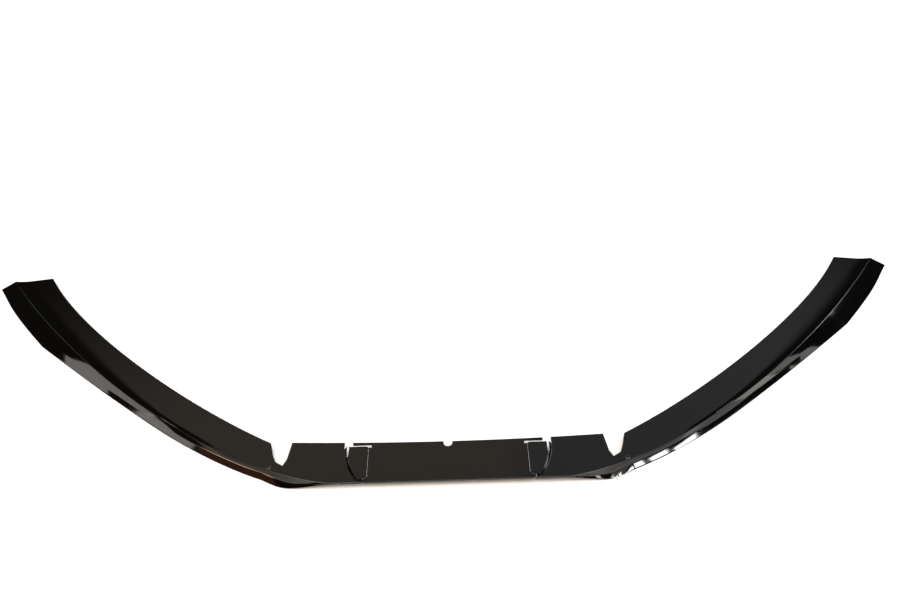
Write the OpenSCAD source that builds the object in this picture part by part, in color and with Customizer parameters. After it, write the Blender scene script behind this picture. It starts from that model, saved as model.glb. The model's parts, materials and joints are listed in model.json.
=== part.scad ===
// Front splitter lip for a car: a flat centre section with a swept wing lapped on to each end.
// Sizes are in millimetres. X runs along the lip, the front edge faces -Y and +Z is up.
// The lip stands on the foot edges of its wings. The origin lies under the middle of its outline.

/* [Sheet and heights] */
// Thickness of the moulded wall
wall = 3; // [2.5:0.1:3.6]
// Height of the flat top face above the foot edges
face_h = 12; // [10:0.5:15]
// Height of the rim that stands above the flat top face along the wings
rim_h = 4; // [2:0.5:6]

/* [Plan of the centre] */
// Depth from the back edge line to the straight front edge
centre_depth = 82.5; // [78:0.5:90]
// How far the back edge bows forward at the middle
back_bow = 6; // [2:0.5:8]
// Half of the length that is bowed
bow_half = 250; // [240:1:260]

/* [Plan of the wings] */
// Half width to the back corner of the wing tips
tip_x = 775; // [740:5:810]
// How far the back corner of the tip lies behind the centre's back edge line
tip_y = 432; // [410:2:450]
// Length of the tip's end cut, from the back corner to the rim
tip_cut = 70; // [62:1:78]
// Angle by which the end cut leans forward
tip_cut_angle = 9; // [4:0.5:14]
// Direction of the back edge where the wing leaves the centre
root_angle = 29; // [25:0.5:33]
// Length over which the back edge holds that direction
root_reach = 200; // [180:5:220]
// Direction of the back edge at the tip
tip_angle = 58; // [54:0.5:62]
// Length over which the back edge comes into the tip's direction
tip_reach = 165; // [150:5:180]
// Half width at which the wing's outer face rises out of the front edge
rim_x = 187; // [183:1:195]
// Direction of the rim where it leaves the front edge
rim_angle = 9.5; // [8:0.5:12]
// Length over which the rim holds that direction
rim_reach = 230; // [215:5:245]
// Direction of the rim at the tip
rim_tip_angle = 52.5; // [50:0.5:55]
// Length over which the rim comes into the tip's direction
rim_tip_reach = 240; // [225:5:255]

/* [Outer face] */
// How far the foot stands outside the rim along the wing
face_run = 12.5; // [12:0.1:15]
// Share of that run at which the crease lies
crease_run = 0.53; // [0.48:0.01:0.58]
// Share of the face's height at which the crease lies, from the rim down
crease_fall = 0.47; // [0.42:0.01:0.52]
// How far the foot stands outside the rim at the tip's flare
flare_run = 32; // [28:1:38]
// Width of the hollow behind the rim where it begins
cove_root_w = 9; // [8:0.5:12]
// Width of the hollow behind the rim at the tip
cove_tip_w = 29; // [24:1:32]
// Half width at which the hollow begins to widen
cove_from = 440; // [420:5:460]
// Half width at which the hollow has its whole width
cove_to = 690; // [660:5:720]
// Radius-like width of the rim's rounded top
rim_round = 0.8; // [0.5:0.1:1.2]
// Half width at which the outer face has its whole height
foot_x = 262; // [256:1:270]
// Half width at which the rim begins to rise above the top face
rim_rise_from = 340; // [320:5:360]
// Half width at which the rim has its whole height
rim_rise_to = 470; // [450:5:500]
// Half width at which the flare begins
flare_from = 490; // [470:5:510]
// Half width at which the flare has its whole run
flare_to = 716; // [700:1:740]

/* [Notches] */
// Half width of the V notch's inner corner
vee_in_x = 250; // [248:0.5:252]
// Half width of the V notch's outer corner, where the wing's back edge begins
vee_out_x = 284; // [280:1:290]
// Half width of the V notch's apex
vee_apex_x = 260; // [258:0.5:263]
// Depth of the V notch
vee_depth = 45.5; // [40:0.5:48]
// Width of the round-bottomed notch in the middle of the back edge
mid_notch_w = 14; // [10:0.5:18]
// Depth of that notch
mid_notch_depth = 10; // [9:0.5:14]
// Half width of the side of the joint notch on the centre section
joint_notch_in = 152; // [149:0.5:154]
// Half width of the side of the joint notch on the wing
joint_notch_out = 165; // [163:0.5:168]
// Depth of the joint notch
joint_notch_depth = 11; // [9:0.5:13]
// Width of the strip behind the slot beside the joint notch
strip_w = 5; // [4:0.5:6]
// Half width at which that slot ends
slot_end_x = 122; // [116:1:124]

/* [Lap joint] */
// Half width of the tongue's end on the centre section
tongue_x = 126; // [123:0.5:130]
// Distance from the front edge to the front of the tongue
tongue_front_gap = 4; // [3:0.5:8]
// Radius of the tongue's end corners
tongue_r = 5; // [3:0.5:8]
// Half width of the centre of the curved step
step_x = 45; // [43:0.5:47]
// Distance of that centre in front of the back edge line
step_y = 10; // [8:0.5:12]
// Radius of the foot of the curved step
step_r = 120; // [119:0.5:121]
// Width of the step's slope
step_w = 5; // [4:0.5:6]
// Clearance between the end of the centre section and the underside of the step
lap_gap = 1; // [0.5:0.1:1.5]
// Half width of the relief slit in the step
slit_x = 159; // [158:0.5:160]
// Width of the relief slit
slit_w = 3.2; // [2.4:0.2:4]
// Length of the relief slit
slit_l = 20; // [14:1:24]

/* [Screws and holes] */
// Diameter of the joint screws' shank
screw_d = 3.5; // [3:0.1:4]
// Length of a joint screw under its head
screw_l = 5.2; // [4.6:0.1:5.4]
// Diameter of a joint screw's head
head_d = 7; // [6:0.5:8]
// Height of a joint screw's head
head_h = 2.2; // [1.6:0.1:2.6]
// Half width of the joint screws
screw_x = 138; // [136:0.5:142]
// Distance of the rear joint screw in front of the back edge line
screw_rear_y = 30; // [26:1:36]
// Distance between the two screws of a joint
screw_pitch = 32; // [24:1:36]
// Clearance round a shank in the centre section's hole, on the diameter
screw_clear = 0.6; // [0.4:0.1:1]
// Clearance round a shank in the tongue's blind hole, on the diameter
pilot_clear = 0.1; // [0.1:0.05:0.2]
// Diameter of the mounting holes beside the V notches
mount_d = 6; // [5:0.5:8]
// Half width of the mounting holes
mount_x = 281; // [279:0.5:288]
// Distance from the rim back to the centre of the mounting holes
mount_setback = 5.7; // [5:0.1:8]

/* [Hidden] */
fn_round = 48;
fn_step = 180;
fine = 6;              // spacing of the loft's stations round the corner
coarse = 14;           // spacing of the stations along the wing
fine_past_vee = 40;    // the close stations end this far past the V notch
turn_lead = 37;        // the sections start to turn square to the rim this far before foot_x
turn_tail = 28;        // and are square to it this far past foot_x
rim_inset = 0.5;       // the rim starts this far behind the front edge
edge_drop = wall + 0.5; // height of the outer face where it starts
cove_steps = [0, 0.4, 0.7, 0.88];  // stations across the hollow, as shares of its width
crease_at_start = [0.6, 0.41];     // the crease's shares of the run and of the height where the face starts
crease_at_corner = [0.42, 0.2];    // the same beside the V notch
crease_at_flare = [0.5, 0.5];      // the same along the flare
nose_share = 0.3;      // the rounded rim takes no more than this share of the run
inner_lead = 0.8 * wall; // the inner skin's crease lies this far inside the outer one
inner_gap = 0.6;       // least spacing of the inner skin's points behind the rim
inner_steps = [0.6, 0.3];  // stations across the hollow's underside, as shares of its width
vee_inner = [[0.2, 0.33], [0.45, 0.73]];  // corners between the V's inner corner and its apex, as shares
vee_outer = [[0.5, 0.83], [0.73, 0.54]];  // corners between the apex and the outer corner
tongue_tail = 10;      // the tongue's block reaches this far past the joint notch, into the step
step_inset = 1.3;      // the step's hollow underside lies this many step widths inside its foot
recess_share = 0.5;    // length of the screw's cross recess, as a share of its head
recess_w = 0.9;        // width of the recess's slots
head_flat = 0.6;       // share of the head's height that is straight, and of the recess's depth
head_taper = 0.8;      // diameter of the head's end, as a share of its whole diameter
over = 1;              // how far a cutter reaches past what it cuts
turn_from = foot_x - turn_lead;
turn_to = foot_x + turn_tail;
under_step_r = step_r - step_inset * step_w;
outline_mid_y = (tip_y - centre_depth) / 2;
joint_notch_mid = (joint_notch_in + joint_notch_out) / 2;
pilot_depth = screw_l - wall + 0.2;
gloss_black = [0.07, 0.07, 0.075];
zinc_black = [0.2, 0.2, 0.21];

function along(angle) = [cos(angle), sin(angle)];
function unit2(v) = v / norm(v);
function limit(v, low, high) = min(max(v, low), high);
// Goes from 0 at a to 1 at b without a corner at either end
function ease(v, a, b) = let (s = limit((v - a) / (b - a), 0, 1)) s * s * (3 - 2 * s);
// Goes from 0 at a, ever faster, to 1 at b, where it stops with a corner
function swell(v, a, b) = pow(limit((v - a) / (b - a), 0, 1), 2);
function mix(a, b, s) = a * (1 - s) + b * s;

// Cubic curve through its first and last control point
function curve(p, t) =
    pow(1 - t, 3) * p[0] + 3 * pow(1 - t, 2) * t * p[1] + 3 * (1 - t) * t * t * p[2] + pow(t, 3) * p[3];
function curve_way(p, t) =
    unit2(pow(1 - t, 2) * (p[1] - p[0]) + 2 * (1 - t) * t * (p[2] - p[1]) + t * t * (p[3] - p[2]));
// Parameter at which the curve reaches a given x, by halving
function at_x(p, x, low = 0, high = 1, turns = 30) =
    let (mid = (low + high) / 2)
    turns == 0 ? mid : curve(p, mid)[0] < x ? at_x(p, x, mid, high, turns - 1) : at_x(p, x, low, mid, turns - 1);

root = [vee_out_x, 0];
tip = [tip_x, tip_y];
cut_way = along(-tip_cut_angle);
rim_start = [rim_x, rim_inset - centre_depth];
rim_tip = tip + tip_cut * cut_way;
back_curve = [root, root + root_reach * along(root_angle), tip - tip_reach * along(tip_angle), tip];
rim_curve = [rim_start, rim_start + rim_reach * along(rim_angle), rim_tip - rim_tip_reach * along(rim_tip_angle),
             rim_tip];
rim_t_root = at_x(rim_curve, vee_out_x);
mount_y = curve(rim_curve, at_x(rim_curve, mount_x))[1] + mount_setback;

function back_y(x) = -back_bow * (1 - pow(limit(abs(x) / bow_half, 0, 1), 2));

// The stations of the loft, close together round the corner
fine_to = vee_out_x + fine_past_vee;
station_x = concat([for (x = [rim_x : fine : fine_to]) x],
                   [for (x = [fine_to + coarse : coarse : rim_tip[0] - coarse / 2]) x], [rim_tip[0]]);

// Outward direction of a section: square to the front edge, then to the rim, then along the tip's cut
function section_way(x, rim_way) =
    let (turn = ease(x, turn_from, turn_to),
         cut = ease(x, tip_x, rim_tip[0]),
         square = [rim_way[1], -rim_way[0]])
    unit2(mix(mix([0, -1], square, turn), cut_way, cut));

// One ring of the loft: the outer skin from the back edge to the foot, then the inner skin back again
function ring(x) =
    let (t = x == rim_tip[0] ? 1 : x == rim_x ? 0 : at_x(rim_curve, x),
         rim = curve(rim_curve, t),
         way = section_way(x, curve_way(rim_curve, t)),
         turn = ease(x, turn_from, turn_to),
         risen = ease(x, rim_rise_from, rim_rise_to),
         flare = swell(x, flare_from, flare_to),
         run = mix(mix(rim[1] + centre_depth, face_run, turn), flare_run, flare),
         drop = mix(edge_drop, face_h, limit((x - rim_x) / (foot_x - rim_x), 0, 1)),
         rise = rim_h * risen,
         cove = mix(cove_root_w, cove_tip_w, ease(x, cove_from, cove_to)),
         at_wing = mix(mix(crease_at_start, crease_at_corner, turn), [crease_run, crease_fall], risen),
         crease = mix(at_wing, crease_at_flare, flare),
         crease_u = run * crease[0],
         crease_z = rise - (rise + drop) * crease[1],
         nose = min(rim_round, run * nose_share),
         lower_run = run - crease_u,
         lower_fall = crease_z + drop,
         land = wall * norm([lower_run, lower_fall]) / lower_fall,
         slope = (rise - crease_z) / crease_u,
         in_foot = run - land,
         in_crease = min(crease_u - inner_lead, in_foot - inner_gap),
         in_nose = min(0, in_crease) - inner_gap,
         in_rim = in_nose - inner_gap,
         cove_z = function (u) u <= -cove ? 0 : rise * pow(1 + u / cove, 2),
         skin_z = function (u) u <= 0 ? cove_z(u) : rise - slope * u,
         back = x <= vee_out_x ? [x, back_y(x)] : curve(back_curve, (t - rim_t_root) / (1 - rim_t_root)),
         outer = concat([for (s = cove_steps) let (u = -cove * (1 - s)) [u, cove_z(u)]],
                        [[-nose, rise], [nose, rise - nose / 2], [crease_u, crease_z], [run, -drop]]),
         inner_u = [-cove, min(-cove * inner_steps[0], in_rim - 2 * inner_gap),
                    min(-cove * inner_steps[1], in_rim - inner_gap), in_rim, in_nose,
                    (in_nose + in_crease) / 2, in_crease],
         inner = concat([for (u = inner_u) [u, skin_z(u) - wall * (u > 0 ? norm([1, slope]) : 1)]],
                        [[in_foot, -drop]]),
         place = function (p) let (q = rim + way * p[0]) [q[0], q[1], face_h + p[1]])
    concat([[back[0], back[1], face_h]], [for (p = outer) place(p)],
           [for (i = [len(inner) - 1 : -1 : 0]) place(inner[i])], [[back[0], back[1], face_h - wall]]);

// Skin of triangles over rings that all have the same number of points, closed by strips at both ends
module loft(rings) {
    n = len(rings[0]);
    half = n / 2;
    last = (len(rings) - 1) * n;
    sides = [for (i = [0 : len(rings) - 2], j = [0 : n - 1])
             let (a = i * n + j, b = i * n + (j + 1) % n, c = b + n, d = a + n)
             each [[a, d, c], [a, c, b]]];
    caps = [for (j = [0 : half - 2])
            let (a = j, b = j + 1, c = n - 2 - j, d = n - 1 - j)
            each [[a, b, c], [a, c, d], [last + a, last + c, last + b], [last + a, last + d, last + c]]];
    polyhedron(points = [for (r = rings) each r], faces = concat(sides, caps), convexity = 10);
}

// Prism standing over a plan outline
module slab(bottom, top) {
    translate([0, 0, bottom]) linear_extrude(top - bottom) children();
}

// Flat plan of the sheet between two half widths, up to the bowed back edge
module sheet_plan(from_x, to_x) {
    steps = 12;
    back = [for (i = [0 : steps]) let (x = mix(from_x, to_x, i / steps)) [x, back_y(x)]];
    polygon(concat(back, [[to_x, -centre_depth], [from_x, -centre_depth]]));
}

// Notch left open between the centre section's strip and the wing
module joint_notch_plan() {
    back = back_y(joint_notch_mid);
    translate([joint_notch_in, back - joint_notch_depth])
        square([joint_notch_out - joint_notch_in, joint_notch_depth - back + over]);
}

// Blind or through holes for one joint's screws, seen on the right-hand side
module at_joint_screws() {
    for (i = [0, 1]) translate([screw_x, -screw_rear_y - i * screw_pitch, 0]) children();
}

// Cone whose side is the curved step, from radius r at z = 0, narrower by step_w over one wall
module step_cone(r, bottom, top) {
    slant = step_w / wall;
    translate([step_x, -step_y, face_h + bottom])
        cylinder(r1 = r - slant * bottom, r2 = r - slant * top, h = top - bottom, $fn = fn_step);
}

// Raised tongue, its back edge level with the front of the slot
module tongue_plan() {
    back = back_y(joint_notch_mid) - joint_notch_depth;
    front = tongue_front_gap - centre_depth;
    r = tongue_r;
    difference() {
        translate([tongue_x, front]) square([joint_notch_out + tongue_tail - tongue_x, back - front]);
        for (end = [[back - r, 1], [front + r, -1]]) translate([tongue_x + r, end[0]]) difference() {
            translate([-r - over, end[1] > 0 ? 0 : -r - over]) square(r + over);
            circle(r, $fn = fn_round);
        }
    }
}

module relief_slit() {
    back = back_y(joint_notch_mid) - joint_notch_depth;
    slab(face_h - wall - over, face_h + wall + over) union() {
        translate([slit_x - slit_w / 2, back - slit_l + slit_w / 2]) square([slit_w, slit_l - slit_w / 2 + over]);
        translate([slit_x, back - slit_l + slit_w / 2]) circle(d = slit_w, $fn = fn_round);
    }
}

module vee_plan() {
    inner_side = [for (s = vee_inner) [mix(vee_in_x, vee_apex_x, s[0]), -s[1] * vee_depth]];
    outer_side = [for (s = vee_outer) [mix(vee_apex_x, vee_out_x, s[0]), -s[1] * vee_depth]];
    polygon(concat([[vee_in_x, over], [vee_in_x, 0]], inner_side, [[vee_apex_x, -vee_depth]], outer_side,
                   [[vee_out_x, 0], [vee_out_x, over]]));
}

module wing() {
    union() {
        difference() {
            loft([for (x = station_x) ring(x)]);
            slab(-over, face_h + rim_h + over) vee_plan();
            translate([mount_x, mount_y, face_h - wall - over])
                cylinder(d = mount_d, h = wall + 2 * over, $fn = fn_round);
        }
        // flat root of the wing, the step and the tongue that lies on the centre section
        difference() {
            union() {
                difference() {
                    slab(face_h - wall, face_h) sheet_plan(tongue_x, rim_x);
                    step_cone(under_step_r, -wall - over, over);
                }
                intersection() {
                    slab(face_h, face_h + wall) tongue_plan();
                    step_cone(step_r, 0, wall);
                }
            }
            slab(face_h - wall - over, face_h + wall + over) joint_notch_plan();
            relief_slit();
            at_joint_screws() translate([0, 0, face_h - over])
                cylinder(d = screw_d + pilot_clear, h = pilot_depth + over, $fn = fn_round);
        }
    }
}

module centre_half_cuts() {
    back = back_y(joint_notch_mid);
    slab(face_h - wall - over, face_h + over) {
        joint_notch_plan();
        translate([slot_end_x, back - joint_notch_depth])
            square([joint_notch_in - slot_end_x + over, joint_notch_depth - strip_w]);
    }
    at_joint_screws() translate([0, 0, face_h - wall - over])
        cylinder(d = screw_d + screw_clear, h = wall + 2 * over, $fn = fn_round);
}

module centre_plan() {
    end_r = under_step_r - lap_gap;
    intersection() {
        sheet_plan(-step_x - end_r, step_x + end_r);
        union() {
            translate([-step_x, -centre_depth - over]) square([2 * step_x, centre_depth + 2 * over]);
            for (side = [-1, 1]) translate([side * step_x, -step_y]) circle(end_r, $fn = fn_step);
        }
    }
}

module joint_screw() {
    recess = head_d * recess_share;
    flat = head_h * head_flat;
    difference() {
        union() {
            cylinder(d = screw_d, h = screw_l, $fn = fn_round);
            translate([0, 0, -flat]) cylinder(d = head_d, h = flat, $fn = fn_round);
            translate([0, 0, -head_h])
                cylinder(d1 = head_d * head_taper, d2 = head_d, h = head_h - flat, $fn = fn_round);
        }
        for (a = [0, 90]) rotate([0, 0, a]) translate([-recess / 2, -recess_w / 2, -head_h - over])
            cube([recess, recess_w, over + flat]);
    }
}

module placed() {
    translate([0, -outline_mid_y, 0]) children();
}

module centre_section() {
    color(gloss_black) placed() difference() {
        slab(face_h - wall, face_h) centre_plan();
        centre_half_cuts();
        mirror([1, 0, 0]) centre_half_cuts();
        slab(face_h - wall - over, face_h + over) {
            translate([-mid_notch_w / 2, -back_bow - mid_notch_depth + mid_notch_w / 2])
                square([mid_notch_w, mid_notch_depth + back_bow]);
            translate([0, -back_bow - mid_notch_depth + mid_notch_w / 2]) circle(d = mid_notch_w, $fn = fn_round);
        }
    }
}

module right_wing() {
    color(gloss_black) placed() wing();
}

module left_wing() {
    color(gloss_black) placed() mirror([1, 0, 0]) wing();
}

module right_joint_screws() {
    color(zinc_black) placed() at_joint_screws() translate([0, 0, face_h - wall]) joint_screw();
}

module left_joint_screws() {
    color(zinc_black) placed() mirror([1, 0, 0]) at_joint_screws() translate([0, 0, face_h - wall]) joint_screw();
}

centre_section();
left_wing();
right_wing();
left_joint_screws();
right_joint_screws();
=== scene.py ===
# %% [markdown]
# A front splitter lip is the low blade under a car's front bumper. This one is moulded from gloss black
# ABS in three sections: a flat centre and a swept wing at each end, whose tongue laps over the centre.
# The notebook dresses the CAD frame: it makes each moulding again as a fine surface, because gloss black
# shows every facet, and then gives it the finish, the light and the view of the photograph.

# %% Load the frame
import bpy
import json
import math
import numpy as np
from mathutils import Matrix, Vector

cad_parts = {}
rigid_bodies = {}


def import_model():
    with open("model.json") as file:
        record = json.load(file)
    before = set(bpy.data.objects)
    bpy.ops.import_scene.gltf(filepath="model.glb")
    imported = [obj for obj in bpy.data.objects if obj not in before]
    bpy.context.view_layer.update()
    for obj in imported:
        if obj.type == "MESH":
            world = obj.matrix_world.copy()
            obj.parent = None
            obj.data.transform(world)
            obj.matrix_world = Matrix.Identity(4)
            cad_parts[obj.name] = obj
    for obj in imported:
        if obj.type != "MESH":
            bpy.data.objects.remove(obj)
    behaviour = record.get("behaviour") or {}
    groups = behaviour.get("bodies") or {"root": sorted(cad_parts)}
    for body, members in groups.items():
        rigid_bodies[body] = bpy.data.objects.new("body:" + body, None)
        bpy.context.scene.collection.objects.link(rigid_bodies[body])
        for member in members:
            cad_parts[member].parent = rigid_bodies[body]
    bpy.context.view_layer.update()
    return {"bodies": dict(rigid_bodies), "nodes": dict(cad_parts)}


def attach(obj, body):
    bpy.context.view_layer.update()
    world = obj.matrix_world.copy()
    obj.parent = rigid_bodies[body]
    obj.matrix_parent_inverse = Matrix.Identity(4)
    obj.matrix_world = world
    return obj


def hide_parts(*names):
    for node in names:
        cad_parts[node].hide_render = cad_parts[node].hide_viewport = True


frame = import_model()
MM = 0.001
body = list(frame["bodies"])[0]
print("nodes:", sorted(frame["nodes"]))

# %% [markdown]
# The camera comes first. It stands in front of the lip, a little over a metre up, and looks down between
# the two wings. Its place could be guessed by eye, but every reflection depends on it, so it was found by
# laying the CAD outline over the outline in the picture.

# %% Camera
PICTURE_W = 920
FOCAL_PX = 850
CAMERA_AT = (15.0, -1049.8, 1083.7)
CAMERA_YAW = 0.593
CAMERA_PITCH = 42.0
CAMERA_ROLL = 1.222
SENSOR_MM = 36
CLIP_START, CLIP_END = 0.01, 100.0


def camera_axes(yaw, pitch, roll):
    """Forward comes from yaw and pitch; right and down are turned about it by the roll."""
    yaw, pitch, roll = map(math.radians, (yaw, pitch, roll))
    ahead = np.array([math.sin(yaw) * math.cos(pitch), math.cos(yaw) * math.cos(pitch), -math.sin(pitch)])
    level = np.array([math.cos(yaw), -math.sin(yaw), 0])
    down = np.cross(ahead, level)
    right = math.cos(roll) * level + math.sin(roll) * down
    return right, math.cos(roll) * down - math.sin(roll) * level, ahead


right, down, ahead = camera_axes(CAMERA_YAW, CAMERA_PITCH, CAMERA_ROLL)
camera = bpy.data.objects.new("camera", bpy.data.cameras.new("camera"))
bpy.context.scene.collection.objects.link(camera)
bpy.context.scene.camera = camera
pose = np.eye(4)
pose[:3, 0], pose[:3, 1], pose[:3, 2] = right, -down, -ahead
pose[:3, 3] = np.array(CAMERA_AT) * MM
camera.matrix_world = pose.T.tolist()
camera.data.sensor_width = SENSOR_MM
camera.data.lens = SENSOR_MM * FOCAL_PX / PICTURE_W
camera.data.clip_start = CLIP_START
camera.data.clip_end = CLIP_END
print("camera looks along", ahead.round(3))

# %% [markdown]
# Every surface below is a grid: a function of two parameters worked out as whole numpy arrays. It could be
# modelled by hand, but a formula can be given the very numbers that the CAD has. One helper makes a grid's
# faces, and another turns points and faces into a mesh, with only those edges sharp that the moulding has.

# %% Helpers for curves and grids
SHARP_DEG = 35


def ease(v, a, b):
    """Cubic step: 0 before a, 1 after b, flat at both ends."""
    s = np.clip((v - a) / (b - a), 0, 1)
    return s * s * (3 - 2 * s)


def mix(a, b, s):
    """Straight blend: a at 0, b at 1."""
    return a * (1 - s) + b * s


def along(angle):
    """Unit vector in plan at an angle in degrees from +X."""
    return np.array([math.cos(math.radians(angle)), math.sin(math.radians(angle))])


def cubic(p, t):
    """Bezier cubic: the four points weighted by (1-t)^3, 3(1-t)^2 t, 3(1-t)t^2 and t^3."""
    t = np.asarray(t)[:, None]
    return (1 - t) ** 3 * p[0] + 3 * (1 - t) ** 2 * t * p[1] + 3 * (1 - t) * t * t * p[2] + t ** 3 * p[3]


def cubic_way(p, t):
    """Unit tangent of the cubic, from the differences of its points."""
    t = np.asarray(t)[:, None]
    d = (1 - t) ** 2 * (p[1] - p[0]) + 2 * (1 - t) * t * (p[2] - p[1]) + t * t * (p[3] - p[2])
    return d / np.linalg.norm(d, axis=1, keepdims=True)


def mesh_object(name, points, faces):
    """Points in millimetres and lists of corner numbers become a smooth mesh, sharp past SHARP_DEG."""
    mesh = bpy.data.meshes.new(name)
    mesh.from_pydata((np.asarray(points).reshape(-1, 3) * MM).tolist(), [], faces)
    mesh.validate()
    mesh.shade_smooth()
    mesh.set_sharp_from_angle(angle=math.radians(SHARP_DEG))
    piece = bpy.data.objects.new(name, mesh)
    bpy.context.scene.collection.objects.link(piece)
    return piece


def grid_faces(rows, columns, flip=False):
    """Quads of a grid whose columns close on themselves, numbered row by row."""
    a = np.arange(rows - 1)[:, None] * columns + np.arange(columns)[None, :]
    b = np.arange(rows - 1)[:, None] * columns + (np.arange(columns)[None, :] + 1) % columns
    quads = np.stack([a, b, b + columns, a + columns], axis=2).reshape(-1, 4)
    return quads[:, ::-1] if flip else quads


print("halfway along the cubic step:", ease(0.5, 0, 1))

# %% [markdown]
# The plan of a wing is two cubic curves. The back edge runs from the V notch to the back corner of the
# tip, and the rim runs from the front edge of the centre out to the end of the tip's cut. They are the
# same curves as in the CAD source, so the fine surface lies where the CAD solid does.

# %% Plan of the lip
WALL, FACE_H, RIM_H = 3.0, 12.0, 4.0
CENTRE_DEPTH, BACK_BOW, BOW_HALF = 82.5, 6.0, 250.0
TIP, TIP_CUT, CUT_ANGLE = np.array([775.0, 432.0]), 70.0, -9.0
MID_Y = (TIP[1] - CENTRE_DEPTH) / 2
RIM_X, RIM_INSET = 187.0, 0.5
VEE_IN, VEE_OUT, VEE_DEPTH = 250.0, 284.0, 45.5
ROOT_REACH, ROOT_ANGLE, TIP_REACH, TIP_ANGLE = 200.0, 29.0, 165.0, 58.0
RIM_REACH, RIM_ANGLE, RIM_TIP_REACH, RIM_TIP_ANGLE = 230.0, 9.5, 240.0, 52.5
TABLE_POINTS = 4001
ROOT = np.array([VEE_OUT, 0.0])
RIM_START = np.array([RIM_X, RIM_INSET - CENTRE_DEPTH])
RIM_TIP = TIP + TIP_CUT * along(CUT_ANGLE)
BACK_CURVE = [ROOT, ROOT + ROOT_REACH * along(ROOT_ANGLE), TIP - TIP_REACH * along(TIP_ANGLE), TIP]
RIM_CURVE = [RIM_START, RIM_START + RIM_REACH * along(RIM_ANGLE),
             RIM_TIP - RIM_TIP_REACH * along(RIM_TIP_ANGLE), RIM_TIP]

t_table = np.linspace(0, 1, TABLE_POINTS)
rim_x_table = cubic(RIM_CURVE, t_table)[:, 0]


def rim_t(x):
    """Parameter at which the rim reaches x, read from a fine table of the curve."""
    return np.interp(x, rim_x_table, t_table)


def bowed_back(x):
    """The centre's back edge bows forward by BACK_BOW in the middle, as a parabola."""
    return -BACK_BOW * (1 - np.clip(np.abs(x) / BOW_HALF, 0, 1) ** 2)


print("half width of the rim's end:", RIM_TIP[0].round(1), "mm")

# %% [markdown]
# The wing's root carries the joint: a tongue one wall higher than the sheet, with a curved step down,
# a notch and a slit in its back edge. Seen from above each of them is a height or an edge that depends
# on x and y, so they are written as such functions and not cut out afterwards.

# %% Notches and tongue of the wing
TONGUE_X, TONGUE_R, TONGUE_FRONT = 126.0, 5.0, -78.5
NOTCH_IN, NOTCH_OUT, NOTCH_DEPTH = 152.0, 165.0, 11.0
NOTCH_FLOOR = bowed_back((NOTCH_IN + NOTCH_OUT) / 2) - NOTCH_DEPTH
SLIT_X, SLIT_W, SLIT_L = 159.0, 3.2, 20.0
STEP_AT, STEP_R, STEP_W = np.array([45.0, -10.0]), 120.0, 5.0
VEE_X = np.array([0, 2, 4.5, 10, 22, 27.5, 34]) + VEE_IN
VEE_Y = -VEE_DEPTH * np.array([0, 0.33, 0.73, 1, 0.83, 0.54, 0])
TONGUE_NOSE = 1.2
LEDGE_FROM, LEDGE_TO = 133.4, 135.6
# The tongue's upright front is spread over the first width, and its side stays raised for the second.
LEDGE_FRONT_W, LEDGE_SIDE_W = 0.3, 1.0
# The step is spread this far past its width at both ends, and lies this much further in on the underside.
STEP_SPREAD, UNDER_SHIFT = 0.5, 1.5


def round_in(x, start, r):
    """Quarter-round corner: how far the edge is pulled in at x, for a corner of radius r at start."""
    d = np.clip(start + r - x, 0, r)
    return r - np.sqrt(r * r - d * d)


def wing_back(x):
    """Back edge of the wing as far as the V notch's outer corner."""
    slit = np.abs(x - SLIT_X) < SLIT_W / 2
    bulb = np.sqrt(np.maximum((SLIT_W / 2) ** 2 - (x - SLIT_X) ** 2, 0))
    notch = NOTCH_FLOOR - round_in(x, TONGUE_X, TONGUE_R) - slit * (SLIT_L - SLIT_W / 2 + bulb)
    y = np.where(x < NOTCH_OUT, notch, bowed_back(x))
    return np.where(x > VEE_IN, np.interp(x, VEE_X, VEE_Y), y)


def wing_front(x):
    """Front edge of the wing's root: the tongue's own edge, then out to the lip's front edge."""
    ledge = np.clip((x - LEDGE_FROM) / (LEDGE_TO - LEDGE_FROM), 0, 1)
    return mix(TONGUE_FRONT + round_in(x, TONGUE_X, TONGUE_R), -CENTRE_DEPTH, ledge)


def step_height(x, y, shift):
    """1 on the tongue, down a parabola to 0 past its curved step; shift moves the step further in."""
    r = np.hypot(x - STEP_AT[0], y - STEP_AT[1]) + shift
    start = STEP_R - STEP_W - STEP_SPREAD
    return 1 - np.clip((r - start) / (STEP_W + 2 * STEP_SPREAD), 0, 1) ** 2


print("the notch's floor is at y =", NOTCH_FLOOR.round(2), "mm")

# %% [markdown]
# Across the wing the section is a flat flange, a hollow that climbs to the rim, an outer face folded at
# a crease, and the foot. Each corner is rounded by a short parabola, as a moulding tool's is, because it
# is these small radii that draw the bright lines along a black gloss part. A Bevel modifier would give
# them all one radius, and here the crease is softer than the foot. Near the front corner the lower facet
# swells by a tenth of a millimetre, so that the windows it mirrors end halfway up.

# %% Rounded corners and swollen lines
CROWN, CROWN_POINTS, CROWN_FROM, CROWN_TO = 0.1, 5, 460.0, 560.0
# Reach and number of points of each rounded corner, outside and inside.
RIM_ROUND, CREASE_ROUND, FOOT_ROUND = (0.8, 5), (1.2, 5), (0.5, 4)
IN_RIM_ROUND, IN_CREASE_ROUND, IN_FOOT_ROUND = (0.3, 5), (0.4, 5), (0.3, 4)
# No corner takes more than this share of a side.
ROUND_LIMIT = 0.45


def corner(before, at, after, rounding):
    """Parabola that rounds a corner; rounding is its reach along both sides and its number of points."""
    size, n = rounding

    def reach(end):
        """Point on the side towards end at which the parabola begins."""
        side = end - at
        length = np.linalg.norm(side, axis=-1, keepdims=True)
        return at + side / length * np.minimum(size, ROUND_LIMIT * length)

    a, b = reach(before), reach(after)
    t = np.linspace(0, 1, n)[None, :, None]
    return (1 - t) ** 2 * a[:, None] + 2 * (1 - t) * t * at[:, None] + t * t * b[:, None]


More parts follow.
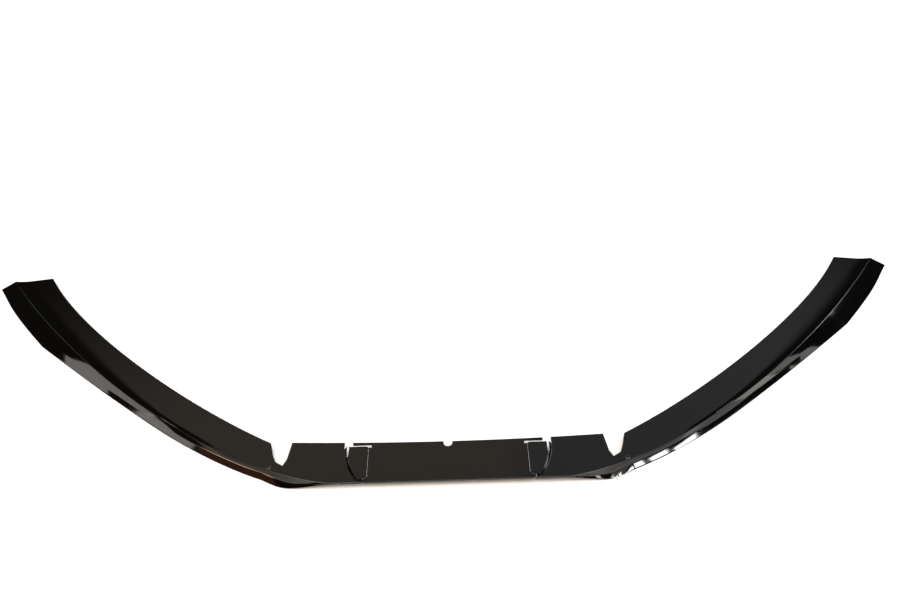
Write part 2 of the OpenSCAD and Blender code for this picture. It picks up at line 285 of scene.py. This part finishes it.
def crowned(a, b, bulge):
    """CROWN_POINTS points from a to b that swell outwards by a parabola of height bulge."""
    s = np.linspace(0, 1, CROWN_POINTS + 2)[None, 1:-1, None]
    way = (b - a)[:, None]
    out = np.stack([-way[..., 1], way[..., 0]], 2) / np.linalg.norm(way, axis=2, keepdims=True)
    return a[:, None] + way * s + out * 4 * s * (1 - s) * np.reshape(bulge, (-1, 1, 1))


print("the crease is rounded over", 2 * CREASE_ROUND[0], "mm")

# %% [markdown]
# Along the wing the face looks straight ahead first, then turns square to the rim, and ends along the
# tip's cut. On the way it widens out of the front edge, the rim rises, and the face flares towards the
# tip. Each change runs smoothly between two values of x, so every measure of the section is an array with
# one number for each station. A few drawn sections with a loft between them would not stay as even.

# %% Measures along the wing
FOOT_X, TURN_LEAD, TURN_TAIL = 262.0, 37.0, 28.0
RISE_FROM, RISE_TO = 340.0, 470.0
FLARE_FROM, FLARE_TO, FLARE_RUN = 490.0, 716.0, 32.0
FACE_RUN, EDGE_DROP = 12.5, 3.5
COVE_ROOT, COVE_TIP = 9.0, 29.0
COVE_FROM, COVE_TO = 440.0, 690.0
# The crease as shares of the face's run and height: at its start, the front corner, the wing and the tip.
CREASE_RUN = (0.6, 0.42, 0.53, 0.5)
CREASE_FALL = (0.41, 0.2, 0.47, 0.5)


def turned(x):
    """0 where the face looks straight ahead and 1 where it stands square to the rim."""
    return ease(x, FOOT_X - TURN_LEAD, FOOT_X + TURN_TAIL)


def rim_and_way(x):
    """Rim of each station, and the way its face leans out: ahead, then square to the rim, then the cut."""
    t = rim_t(x)
    rim = cubic(RIM_CURVE, t)
    root = x < RIM_X
    rim[root] = np.stack([x, wing_front(x) + RIM_INSET], 1)[root]
    tangent = cubic_way(RIM_CURVE, t)
    square = np.stack([tangent[:, 1], -tangent[:, 0]], 1)
    way = mix(np.array([0.0, -1.0]), square, turned(x)[:, None])
    way = mix(way, along(CUT_ANGLE), ease(x, TIP[0], RIM_TIP[0])[:, None])
    return rim, way / np.linalg.norm(way, axis=1, keepdims=True)


def face_measures(x, rim):
    """The rim's rise, the face's run and drop, and the crease's place: u is outwards, z is up."""
    turn = turned(x)
    risen = ease(x, RISE_FROM, RISE_TO)
    flare = np.clip((x - FLARE_FROM) / (FLARE_TO - FLARE_FROM), 0, 1) ** 2
    run = mix(mix(rim[:, 1] + CENTRE_DEPTH, FACE_RUN, turn), FLARE_RUN, flare)
    run = np.where(x < RIM_X, RIM_INSET, run)
    drop = mix(EDGE_DROP, FACE_H, np.clip((x - RIM_X) / (FOOT_X - RIM_X), 0, 1))
    drop = np.where(x < RIM_X, WALL, drop)
    rise = RIM_H * risen
    run_share, fall_share = (mix(mix(mix(start, front, turn), middle, risen), tip, flare)
                             for start, front, middle, tip in (CREASE_RUN, CREASE_FALL))
    return rise, run, drop, run * run_share, rise - (rise + drop) * fall_share


print("the face is", FACE_RUN, "mm wide along the wing and", FLARE_RUN, "mm at the tip")

# %% [markdown]
# The moulding is a shell of even thickness, open below. Its outer skin runs over the hollow and the rim
# and down the face, and its inner skin comes back from the foot, one wall further in. A Solidify modifier
# could cross itself at the crease and at the foot, so the inner corners are worked out.

# %% Outer and inner skin
# The inner skin's corners keep these distances from the outer crease and from each other.
INNER_LEAD, INNER_GAP, INNER_STEP = 0.8 * WALL, 0.6, 0.5
# Points across the hollow and under it as shares of its width, and across the root in millimetres.
HOLLOW_SHARES = 1 - np.array([0, 0.14, 0.28, 0.42, 0.56, 0.7, 0.84])
UNDER_SHARES = np.linspace(0.88, 0.1, 7)
ROOT_U = np.array([-9, -7.5, -6, -4.8, -3.65, -3.35, -2.0])
ROOT_FADE = 20.0


def uz(u, z):
    """One point for each station, u outwards from the rim and z up from the flange."""
    return np.stack(np.broadcast_arrays(u, z), 1)


def hollow(u, rise, cove):
    """Points of the hollow: a parabola from the flange, cove inside the rim, up to the rim's rise."""
    return np.stack([u, rise[:, None] * np.clip(1 + u / cove[:, None], 0, 1) ** 2], 2)


def inner_corners(rise, run, drop, crease_u, crease_z, cove):
    """Foot, crease and rim of the inner skin, one wall inside the two facets and below the hollow."""
    land = WALL * np.hypot(run - crease_u, crease_z + drop) / (crease_z + drop)
    slope = (rise - crease_z) / crease_u
    foot_u = run - land
    fold_u = np.minimum(crease_u - INNER_LEAD, foot_u - INNER_GAP)
    fold_z = np.where(fold_u > 0, rise - slope * fold_u - WALL * np.sqrt(1 + slope ** 2), rise - WALL)
    rim_u = np.minimum(-INNER_GAP, fold_u - INNER_STEP)
    rim_z = rise * (1 + rim_u / cove) ** 2 - WALL
    return uz(foot_u, -drop), uz(fold_u, fold_z), uz(rim_u, rim_z)


def skins(x, rim):
    """Outer skin from the hollow to the foot, and inner skin from the foot back to the hollow."""
    rise, run, drop, crease_u, crease_z = face_measures(x, rim)
    cove = mix(COVE_ROOT, COVE_TIP, ease(x, COVE_FROM, COVE_TO))
    rim_at, crease_at, foot_at = uz(0, rise), uz(crease_u, crease_z), uz(run, -drop)
    in_foot_at, in_crease_at, in_rim_at = inner_corners(rise, run, drop, crease_u, crease_z, cove)
    past_root = ease(x, RIM_X, RIM_X + ROOT_FADE)[:, None]
    over_u = mix(ROOT_U[None, :], -cove[:, None] * HOLLOW_SHARES, past_root)
    under_u = UNDER_SHARES[None, :] * (in_rim_at[:, 0] + cove)[:, None] - cove[:, None]
    over = hollow(over_u, rise, cove)
    under = hollow(under_u, rise, cove) - [0, WALL]
    edge = corner(over[:, -1], rim_at, crease_at, RIM_ROUND)
    crease = corner(rim_at, crease_at, foot_at, CREASE_ROUND)
    foot = corner(crease_at, foot_at, in_foot_at, FOOT_ROUND)
    in_foot = corner(foot_at, in_foot_at, in_crease_at, IN_FOOT_ROUND)
    in_crease = corner(in_foot_at, in_crease_at, in_rim_at, IN_CREASE_ROUND)
    in_edge = corner(in_crease_at, in_rim_at, under[:, 0], IN_RIM_ROUND)
    bulge = CROWN * turned(x) * (1 - ease(x, CROWN_FROM, CROWN_TO))
    lower_facet = crowned(crease[:, -1], foot[:, 0], bulge)
    in_lower = crowned(in_foot[:, -1], in_crease[:, 0], 0 * bulge)
    outside = np.concatenate([over, edge, crease, lower_facet, foot], 1)
    inside = np.concatenate([in_foot, in_lower, in_crease, in_edge, under], 1)
    return outside, inside


print("the wall is", WALL, "mm thick")

# %% [markdown]
# The flange is the flat shelf between the back edge and the hollow. Its many narrow quads end exactly on
# the hollow's first line, so there is no seam to weld, and the tongue is raised by moving its points up.
# A separate tongue laid on top would leave a line all round in the gloss.

# %% Section of the wing
# The flange's back edge is a quarter round of radius EDGE_R, with one point on the way in shares of it.
EDGE_R, EDGE_MID_IN, EDGE_MID_DOWN = 0.5, 0.15, 0.3
FLAT_STEPS, FLAT_LEAD = 30, 0.7


def flange(x, hollow_start):
    """Top and underside of the flange: straight lines from the rounded back edge to the hollow."""
    past_vee = x > VEE_OUT
    back = np.stack([x, wing_back(x)], 1)
    t_root = rim_t(VEE_OUT)
    back[past_vee] = cubic(BACK_CURVE, (rim_t(x[past_vee]) - t_root) / (1 - t_root))
    across = hollow_start - back
    length = np.linalg.norm(across, axis=1)
    at_edge = EDGE_R * np.array([0, EDGE_MID_IN, 1])[None, :] / length[:, None]
    inner = (np.arange(FLAT_STEPS) + FLAT_LEAD) / (FLAT_STEPS + 1 - FLAT_LEAD)
    share = np.concatenate([at_edge, np.broadcast_to(inner, (len(x), FLAT_STEPS))], 1)
    flat = back[:, None] + across[:, None] * share[..., None]
    edge_z = np.zeros(share.shape + (1,))
    edge_z[:, 0] = EDGE_R
    edge_z[:, 1] = EDGE_R * EDGE_MID_DOWN
    top = np.concatenate([flat, FACE_H - edge_z], 2)
    low = np.concatenate([flat, FACE_H - WALL + edge_z], 2)
    return top, low


def raise_tongue(x, ring):
    """Lifts the points of the tongue by one wall, less its step, its ledge and its rounded nose."""
    upper = np.arange(ring.shape[1]) < ring.shape[1] // 2
    px, py = ring[..., 0], ring[..., 1]
    behind_ledge = np.clip((py - TONGUE_FRONT) / LEDGE_FRONT_W + 0.5, 0, 1)
    on_side = (x < LEDGE_TO)[:, None] & (px < LEDGE_FROM + LEDGE_SIDE_W)
    behind_ledge = np.where(on_side, 1, behind_ledge)
    lift = np.where(upper, step_height(px, py, 0) * behind_ledge, step_height(px, py, UNDER_SHIFT))
    ring[..., 2] += WALL * lift * (px < RIM_X)
    ring[..., 2] -= upper * round_in(x, TONGUE_X, TONGUE_NOSE)[:, None]


def placed(skin, rim, way):
    """A skin in space: u goes from the rim along each station's way, and z from the flange's height."""
    return np.concatenate([rim[:, None] + way[:, None] * skin[..., :1], FACE_H + skin[..., 1:]], 2)


def wing_sections(x):
    """Grid of points: one closed section for each x, from the top of the back edge round to its bottom."""
    rim, way = rim_and_way(x)
    outside, inside = (placed(skin, rim, way) for skin in skins(x, rim))
    top, low = flange(x, outside[:, 0, :2])
    ring = np.concatenate([top, outside, inside, low[:, ::-1]], 1)
    raise_tongue(x, ring)
    return ring


print("a section has", wing_sections(TIP[:1]).shape[1], "points")

# %% [markdown]
# The stations stand close together where the plan turns quickly: at the tongue, at the slit, at the
# notch's sides and round the V. A pair of stations a tenth of a millimetre apart makes an upright wall.
# Equal steps would have to be that fine everywhere, with twenty times as many faces.

# %% Stations along the wing
NOSE_SHARES = np.array([0.05, 0.25, 0.55, 1.0])
ROUND_POINTS, SLIT_POINTS = 8, 13
# Half the distance of a pair at an upright side, and the least distance between any two stations.
UPRIGHT, LEAST_GAP = 0.05, 0.04
# Distances at the joint and the V, between them, past the V and on the way to the tip.
FINE, ROOT_STEP, NEAR_STEP, FAR_STEP, FAR_FROM = 1.0, 2.0, 2.5, 3.5, 380.0
# The last distance, and how far the edge of each end cap is drawn in.
END_STEP, END_PINCH = 0.5, 0.2


def stations():
    """Sorted values of x, with pairs at the upright sides."""
    rounded = TONGUE_X + TONGUE_R * (1 - np.cos(np.linspace(0, math.pi / 2, ROUND_POINTS)))
    nose = TONGUE_X + TONGUE_NOSE * NOSE_SHARES
    half = SLIT_W / 2
    slit = SLIT_X + half * np.cos(np.linspace(math.pi, 0, SLIT_POINTS)[1:-1])
    walls = [s + d for s in (SLIT_X - half, SLIT_X + half, NOTCH_OUT) for d in (-UPRIGHT, UPRIGHT)]
    joint = np.arange(TONGUE_X + TONGUE_R + FINE, RIM_X - FINE, FINE)
    vee = np.arange(VEE_IN, VEE_OUT + FINE, FINE)
    near = np.arange(VEE_OUT + ROOT_STEP, FAR_FROM, NEAR_STEP)
    far = np.arange(FAR_FROM, RIM_TIP[0] - ROOT_STEP, FAR_STEP)
    parts = [rounded, nose, slit, walls, joint, [LEDGE_FROM, LEDGE_TO], np.arange(RIM_X, VEE_IN, ROOT_STEP),
             vee, VEE_X, near, far, [RIM_TIP[0] - END_STEP, RIM_TIP[0]]]
    x = np.unique(np.round(np.concatenate(parts), 3))
    gap = np.diff(x, prepend=-np.inf)
    return x[gap > LEAST_GAP]


def closed_wing(name, side):
    """A wing from its sections, closed by a slightly drawn-in cap at each end; side -1 mirrors it."""
    x = stations()
    ring = wing_sections(x)
    half = ring.shape[1] // 2
    for end in (0, -1):
        partner = ring[end][::-1]
        gap = partner - ring[end]
        ring[end] += gap / np.linalg.norm(gap, axis=1, keepdims=True) * END_PINCH
    ring[..., 1] -= MID_Y
    ring[..., 0] *= side
    rows, columns = ring.shape[:2]
    sides = grid_faces(rows, columns, flip=side < 0)
    j = np.arange(half - 1)
    cap = np.stack([j, columns - 1 - j, columns - 2 - j, j + 1], 1)
    last = cap[:, ::-1] + (rows - 1) * columns
    caps = np.concatenate([cap, last])
    caps = caps[:, ::-1] if side < 0 else caps
    piece = mesh_object(name, ring, np.concatenate([sides, caps]).tolist())
    print(name, "has", len(piece.data.polygons), "faces at", rows, "stations")
    return piece


print("the wing has", len(stations()), "stations")

# %% [markdown]
# The centre section is a sheet cut to an outline. It could be a filled curve with some extrusion, but its
# bevel would spoil the notches' corners. Here the edge is a small rounded profile carried along the
# outline, and the two flat faces close it. A narrow flat band inside the rounding keeps the big faces'
# shading truly flat.

# %% Centre section
MID_NOTCH_W, MID_NOTCH_DEPTH = 14.0, 10.0
STRIP_W, SLOT_END = 5.0, 122.0
STEP_INSET, LAP_GAP, FLAT_BAND = 1.3, 1.0, 1.0
END_R = STEP_R - STEP_INSET * STEP_W - LAP_GAP
END_POINTS, STRIP_POINTS, BULB_POINTS, EDGE_POINTS = 40, 24, 12, 4


def centre_half():
    """Right half of the centre's outline, from the middle of the front edge round to the middle notch."""
    front = math.asin((-CENTRE_DEPTH - STEP_AT[1]) / END_R)
    back = math.asin((NOTCH_FLOOR - STEP_AT[1]) / END_R)
    a = np.linspace(front, back, END_POINTS)
    end = STEP_AT + END_R * np.stack([np.cos(a), np.sin(a)], 1)
    strip_back = np.linspace(NOTCH_IN, MID_NOTCH_W / 2, STRIP_POINTS)
    slot = [[SLOT_END, NOTCH_FLOOR], [SLOT_END, NOTCH_FLOOR + NOTCH_DEPTH - STRIP_W],
            [NOTCH_IN, NOTCH_FLOOR + NOTCH_DEPTH - STRIP_W]]
    edge = np.stack([strip_back, bowed_back(strip_back)], 1)
    b = np.linspace(0, -math.pi / 2, BULB_POINTS)
    r = MID_NOTCH_W / 2
    bulb = np.stack([r * np.cos(b), -BACK_BOW - MID_NOTCH_DEPTH + r + r * np.sin(b)], 1)
    return np.concatenate([[[0, -CENTRE_DEPTH]], end, slot, edge, bulb])


def centre_sheet(name):
    """Rounded edge profile carried round the outline by mitred offsets, then closed by two flat faces."""
    half = centre_half()
    outline = np.concatenate([half, half[-2:0:-1] * [-1, 1]])
    step = np.roll(outline, -1, 0) - outline
    step /= np.linalg.norm(step, axis=1, keepdims=True)
    inward = np.stack([-step[:, 1], step[:, 0]], 1)
    mitre = inward + np.roll(inward, 1, 0)
    mitre /= 1 + (inward * np.roll(inward, 1, 0)).sum(1, keepdims=True)
    turn = np.linspace(0, math.pi / 2, EDGE_POINTS)
    offset = np.concatenate([[FLAT_BAND], EDGE_R * (1 - np.sin(turn))])
    height = np.concatenate([[FACE_H], FACE_H - EDGE_R * (1 - np.cos(turn))])
    offset = np.concatenate([offset, offset[::-1]])
    height = np.concatenate([height, 2 * FACE_H - WALL - height[::-1]])
    plan = outline[None] + mitre[None] * offset[:, None, None]
    grid = np.concatenate([plan, np.broadcast_to(height[:, None, None], plan.shape[:2] + (1,))], 2)
    grid[..., 1] -= MID_Y
    rows, columns = grid.shape[:2]
    sides = grid_faces(rows, columns, flip=True).tolist()
    top = list(range(columns))
    bottom = list(range(rows * columns - 1, (rows - 1) * columns - 1, -1))
    piece = mesh_object(name, grid, sides + [top, bottom])
    print(name, "has an outline of", columns, "points")
    return piece


print("the centre's end has a radius of", END_R, "mm")

# %% [markdown]
# A round hole in each flange takes the bumper's screw, with a small lead-in that catches the light. The
# wing's grid has no line round it, so the hole is bored through the finished mesh. The cutter is a
# straight pin that widens to a cone a little below the face.

# %% Mounting holes
MOUNT_X, MOUNT_D, MOUNT_SETBACK = 281.0, 6.0, 5.7
MOUNT_LEAD, HOLE_SIDES = 0.8, 48
MOUNT_Y = cubic(RIM_CURVE, [rim_t(MOUNT_X)])[0, 1] + MOUNT_SETBACK


def bored(piece, side):
    """Cuts the pin's and cone's shape out of the piece and keeps the result as the piece's own mesh."""
    reach = 2 * WALL
    a = np.arange(HOLE_SIDES) / HOLE_SIDES * 2 * math.pi
    profile = np.array([[0, -reach], [0, -MOUNT_LEAD], [MOUNT_LEAD + reach, reach]]) + [MOUNT_D / 2, FACE_H]
    ring = np.stack([side * MOUNT_X + np.cos(a) * profile[:, :1],
                     MOUNT_Y - MID_Y + np.sin(a) * profile[:, :1],
                     profile[:, 1:] + 0 * a], 2)
    last = (len(profile) - 1) * HOLE_SIDES + np.arange(HOLE_SIDES)
    faces = grid_faces(len(profile), HOLE_SIDES).tolist()
    cutter = mesh_object("cutter", ring, faces + [list(range(HOLE_SIDES))[::-1], last.tolist()])
    hole = piece.modifiers.new("hole", "BOOLEAN")
    hole.operation = "DIFFERENCE"
    hole.object = cutter
    bpy.context.view_layer.update()
    cut = bpy.data.meshes.new_from_object(piece.evaluated_get(bpy.context.evaluated_depsgraph_get()))
    piece.modifiers.clear()
    piece.data = cut
    cut.set_sharp_from_angle(angle=math.radians(SHARP_DEG))
    bpy.data.objects.remove(cutter)
    return piece


print("mounting holes at x =", MOUNT_X, "and y =", (MOUNT_Y - MID_Y).round(2), "mm")

# %% [markdown]
# Gloss black ABS is moulded against a polished tool. Its colour is almost nothing: what the eye sees is
# the reflection. A faint waviness and a trace of dust keep that reflection from looking like glass. Both
# are noise on the piece's own coordinates, because an unwrapped picture would need far more pixels.

# %% Materials
# A wave is 20 mm long. 420 specks or 900 blotches go into a metre: real dust is finer than that, and it
# is drawn as coarse as it has to be to show.
WAVE_MM, DUST_MM, BLOTCH_MM = 20.0, 1000 / 420, 1000 / 900
WAVE_DEPTH_MM, WAVE_STRENGTH = 0.2, 0.12
GLOSS_ROUGHNESS, ZINC_ROUGHNESS = (0.03, 0.09), (0.3, 0.48)
PLASTIC_IOR = 1.5
BLACK_ABS, BLACK_ZINC = "#040404", "#3a3a3e"


def linear(code):
    """sRGB hex to linear RGBA: divide by 12.92 when dark, else ((c + 0.055) / 1.055) ** 2.4."""
    c = np.array([int(code[i:i + 2], 16) / 255 for i in (1, 3, 5)])
    rgb = np.where(c <= 0.04045, c / 12.92, ((c + 0.055) / 1.055) ** 2.4)
    return (*rgb.tolist(), 1.0)


def add_node(tree, kind, links=(), **settings):
    """Adds a node, sets its properties or inputs by name, and links (output, input name) pairs."""
    node = tree.nodes.new(kind)
    for key, value in settings.items():
        if key in node.bl_rna.properties:
            setattr(node, key, value)
        else:
            node.inputs[key].default_value = value
    for output, name in links:
        tree.links.new(output, node.inputs[name])
    return node


def new_material(name):
    """An empty node material and its output node."""
    material = bpy.data.materials.new(name)
    material.use_nodes = True
    material.node_tree.nodes.clear()
    return material, material.node_tree.nodes.new("ShaderNodeOutputMaterial")


def span(start, end, low, high):
    """The four limits of a Map Range node, by the names of its inputs."""
    return {"From Min": start, "From Max": end, "To Min": low, "To Max": high}


def moulded_gloss_abs():
    """Black ABS from a polished tool: IOR 1.5, nearly mirror smooth, with 20 mm waviness and fine dust."""
    material, output = new_material("gloss_black_moulded_abs")
    tree = material.node_tree
    place = add_node(tree, "ShaderNodeTexCoord").outputs["Object"]
    wave = add_node(tree, "ShaderNodeTexNoise", [(place, "Vector")], Scale=1 / (WAVE_MM * MM), Detail=1.0)
    dust = add_node(tree, "ShaderNodeTexNoise", [(place, "Vector")],
                    Scale=1 / (DUST_MM * MM), Detail=4.0, Roughness=0.65)
    rough = add_node(tree, "ShaderNodeMapRange", [(dust.outputs["Fac"], "Value")],
                     **span(0, 1, *GLOSS_ROUGHNESS))
    bump = add_node(tree, "ShaderNodeBump", [(wave.outputs["Fac"], "Height")],
                    Strength=WAVE_STRENGTH, Distance=WAVE_DEPTH_MM * MM)
    shader = add_node(tree, "ShaderNodeBsdfPrincipled",
                      [(rough.outputs["Result"], "Roughness"), (bump.outputs["Normal"], "Normal")],
                      IOR=PLASTIC_IOR)
    shader.inputs["Base Color"].default_value = linear(BLACK_ABS)
    tree.links.new(shader.outputs["BSDF"], output.inputs["Surface"])
    return material


def black_zinc_steel():
    """Black passivated zinc on small screws: a dark metal, satin, with faint blotches of the dip."""
    material, output = new_material("black_zinc_plated_steel")
    tree = material.node_tree
    place = add_node(tree, "ShaderNodeTexCoord").outputs["Object"]
    blotch = add_node(tree, "ShaderNodeTexNoise", [(place, "Vector")],
                      Scale=1 / (BLOTCH_MM * MM), Detail=3.0)
    rough = add_node(tree, "ShaderNodeMapRange", [(blotch.outputs["Fac"], "Value")],
                     **span(0, 1, *ZINC_ROUGHNESS))
    shader = add_node(tree, "ShaderNodeBsdfPrincipled", [(rough.outputs["Result"], "Roughness")],
                      Metallic=1.0)
    shader.inputs["Base Color"].default_value = linear(BLACK_ZINC)
    tree.links.new(shader.outputs["BSDF"], output.inputs["Surface"])
    return material


print("black ABS in linear light:", linear(BLACK_ABS)[:3])

# %% [markdown]
# Each moulding rides on the lip's one body and replaces its CAD node. The screws could be made again too,
# but they sit under the tongues, so they keep their CAD shape and only get a finish.

# %% Put the pieces in place
gloss = moulded_gloss_abs()
zinc = black_zinc_steel()
mouldings = {"centre_section": centre_sheet("centre_moulding"),
             "left_wing": bored(closed_wing("left_wing_moulding", -1), -1),
             "right_wing": bored(closed_wing("right_wing_moulding", 1), 1)}
for node, piece in mouldings.items():
    piece.data.materials.clear()
    piece.data.materials.append(gloss)
    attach(piece, body)
    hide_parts(node)
for node in ("left_joint_screws", "right_joint_screws"):
    screws = frame["nodes"][node]
    screws.data.materials.clear()
    screws.data.materials.append(zinc)
print("pieces:", [piece.name for piece in mouldings.values()])

# %% [markdown]
# The stage is a plain white floor that fills the view. It is matt, so it keeps the lip's soft shadow, and
# it lies a hair below the feet, so that the two surfaces don't flicker through each other. A curved
# backdrop would put its bend into the gloss, so the sheet simply runs on past the picture.

# %% Floor
# All in metres but the last, which is how much light comes back.
FLOOR_HALF, FLOOR_DROP, FLOOR_WHITE = 60.0, 0.0002, 0.9


def white_floor():
    """A matt white sheet, wide enough to fill the view, a hair under the foot edges."""
    material, output = new_material("white_floor")
    tree = material.node_tree
    shader = add_node(tree, "ShaderNodeBsdfDiffuse")
    shader.inputs["Color"].default_value = (FLOOR_WHITE, FLOOR_WHITE, FLOOR_WHITE, 1)
    tree.links.new(shader.outputs["BSDF"], output.inputs["Surface"])
    h = FLOOR_HALF
    mesh = bpy.data.meshes.new("floor")
    mesh.from_pydata([(-h, -h, 0), (h, -h, 0), (h, h, 0), (-h, h, 0)], [], [(0, 1, 2, 3)])
    mesh.materials.append(material)
    floor = bpy.data.objects.new("floor", mesh)
    floor.location.z = -FLOOR_DROP
    bpy.context.scene.collection.objects.link(floor)


white_floor()
print("the floor is", 2 * FLOOR_HALF, "m wide")

# %% [markdown]
# The room is what the gloss shows: a ceiling that is paler behind the camera than in front of it, dark
# walls, cards on both sides and windows to the right. A photographed surround could do the same, but each
# facet mirrors one small part of the room, so a lamp far off stands where each reflection has to be. The
# windows are seen in the gloss and give no soft light, so they don't brighten the floor.

# %% Room
CEILING_FROM = {"left": (34, 50), "right": (30, 43)}
CEILING_TINT = {"left": "#fff0de", "right": "#e1e1e1"}
CEILING_FRONT, CEILING_BACK, WALL_LEVEL = 0.57, 2.0, 0.025
# Where the left ceiling gives way to the right one, and the back to the front, on the unit sphere.
SIDE_BLEND, BACK_BLEND = (0.03, 0.1), (-0.35, 0.1)
CARD_DISTANCE = 40.0


def sine(degrees):
    """Height of a direction on the unit sphere for an elevation."""
    return math.sin(math.radians(degrees))


def studio_world():
    """Ceiling above an elevation that is lower on the right; direction on the unit sphere gives the place."""
    world = bpy.data.worlds.new("studio")
    bpy.context.scene.world = world
    world.use_nodes = True
    tree = world.node_tree
    tree.nodes.clear()
    way = add_node(tree, "ShaderNodeTexCoord").outputs["Generated"]
    split = add_node(tree, "ShaderNodeSeparateXYZ", [(way, "Vector")]).outputs

    ramps = {"left": ("Z", *map(sine, CEILING_FROM["left"]), 0, 1),
             "right": ("Z", *map(sine, CEILING_FROM["right"]), 0, 1),
             "side": ("X", *SIDE_BLEND, 0, 1),
             "level": ("Y", *BACK_BLEND, CEILING_BACK, CEILING_FRONT)}
    step = {}
    for name, (axis, *limits) in ramps.items():
        node = add_node(tree, "ShaderNodeMapRange", [(split[axis], "Value")],
                        interpolation_type="SMOOTHSTEP", **span(*limits))
        step[name] = node.outputs["Result"]
    cover = add_node(tree, "ShaderNodeMix",
                     [(step["side"], "Factor"), (step["left"], "A"), (step["right"], "B")])
    walls = add_node(tree, "ShaderNodeMix", [(cover.outputs["Result"], "Factor"), (step["level"], "B")])
    walls.inputs["A"].default_value = WALL_LEVEL
    tint = add_node(tree, "ShaderNodeMix", [(step["side"], "Factor")], data_type="RGBA")
    warm, plain = (socket for socket in tint.inputs if socket.type == "RGBA")
    warm.default_value, plain.default_value = (linear(code) for code in CEILING_TINT.values())
    colour = next(socket for socket in tint.outputs if socket.type == "RGBA")
    room = add_node(tree, "ShaderNodeBackground", [(walls.outputs["Result"], "Strength"), (colour, "Color")])
    output = tree.nodes.new("ShaderNodeOutputWorld")
    tree.links.new(room.outputs["Background"], output.inputs["Surface"])


def soft_card(name, azimuth, elevation, width, height, radiance, tint):
    """A rectangular lamp far off that faces the lip; azimuth runs from straight ahead towards the right."""
    a, e = math.radians(azimuth), math.radians(elevation)
    way = Vector((math.sin(a) * math.cos(e), math.cos(a) * math.cos(e), math.sin(e)))
    lamp = bpy.data.lights.new(name, "AREA")
    lamp.shape = "RECTANGLE"
    lamp.size = 2 * CARD_DISTANCE * math.tan(math.radians(width / 2))
    lamp.size_y = 2 * CARD_DISTANCE * math.tan(math.radians(height / 2))
    lamp.energy = radiance * math.pi * lamp.size * lamp.size_y
    lamp.color = linear(tint)[:3]
    card = bpy.data.objects.new(name, lamp)
    bpy.context.scene.collection.objects.link(card)
    card.location = way * CARD_DISTANCE
    card.rotation_euler = (-way).to_track_quat("-Z", "Y").to_euler()
    return card


studio_world()
# Azimuth, elevation, width and height in degrees, then radiance and tint.
CARDS = {
    "overhead_box": (0, 90, 44, 44, 3.4, "#ffffff"),
    "left_wall": (-91.2, 17.6, 20.2, 17.3, 2.3, "#fffaf4"),
    "left_wall_low": (-107.3, 8, 12, 16, 2.7, "#fff8f0"),
    "left_brown": (-123, 12, 17, 20, 0.5, "#ff9878"),
    "left_lamp": (-118.5, 30, 13, 16, 12.0, "#ffdcb4"),
    "left_edge": (-47, 40, 10, 12, 1.6, "#ffffff"),
    "left_low": (-46, 5, 16, 10, 20.0, "#ffffff"),
    "left_step": (-70, 7, 30, 13, 0.5, "#ffffff"),
    "right_wall": (107.5, 19, 10, 20, 1.4, "#fffaf4"),
    "right_wall_near": (99.2, 17.7, 6.5, 11, 3.6, "#fffaf4"),
    "right_wall_end": (92.5, 20.5, 7, 7.5, 2.0, "#fffaf4"),
    "right_wall_high": (106.5, 37.5, 11, 17, 1.5, "#ffffff"),
    "right_ceiling": (114, 56, 36, 22, 0.6, "#fff0e6"),
    "right_edge": (47, 40, 10, 12, 4.5, "#ffffff"),
    "right_line": (66, 36, 10, 7, 9.0, "#ffffff"),
    "right_low": (46, 5, 16, 10, 20.0, "#ffffff"),
    "right_step": (70, 7, 30, 13, 0.6, "#ffffff"),
}
WINDOWS = {
    "window_near": (118.3, 5.6, 5.5, 9.2, 26, "#ffffff"),
    "window_middle": (125.15, 11.2, 4.9, 6.3, 26, "#ffffff"),
    "window_end": (131.4, 12.75, 3.6, 7.5, 26, "#ffffff"),
    "window_far": (136.5, 20, 9, 7, 26, "#ffffff"),
    "window_last": (140, 26, 5, 5, 10, "#ffffff"),
    "window_corner": (158, 25, 4, 5, 10, "#ffffff"),
    "window_frame": (129, 27, 19, 18, 1.0, "#fff0e6"),
}
for name, numbers in CARDS.items():
    soft_card(name, *numbers)
for name, numbers in WINDOWS.items():
    soft_card(name, *numbers).visible_diffuse = False
print(len(CARDS), "cards and", len(WINDOWS), "windows")

# %% [markdown]
# The colours are shown as they are, without a film look.

# %% Colour management
bpy.context.scene.view_settings.view_transform = "Standard"
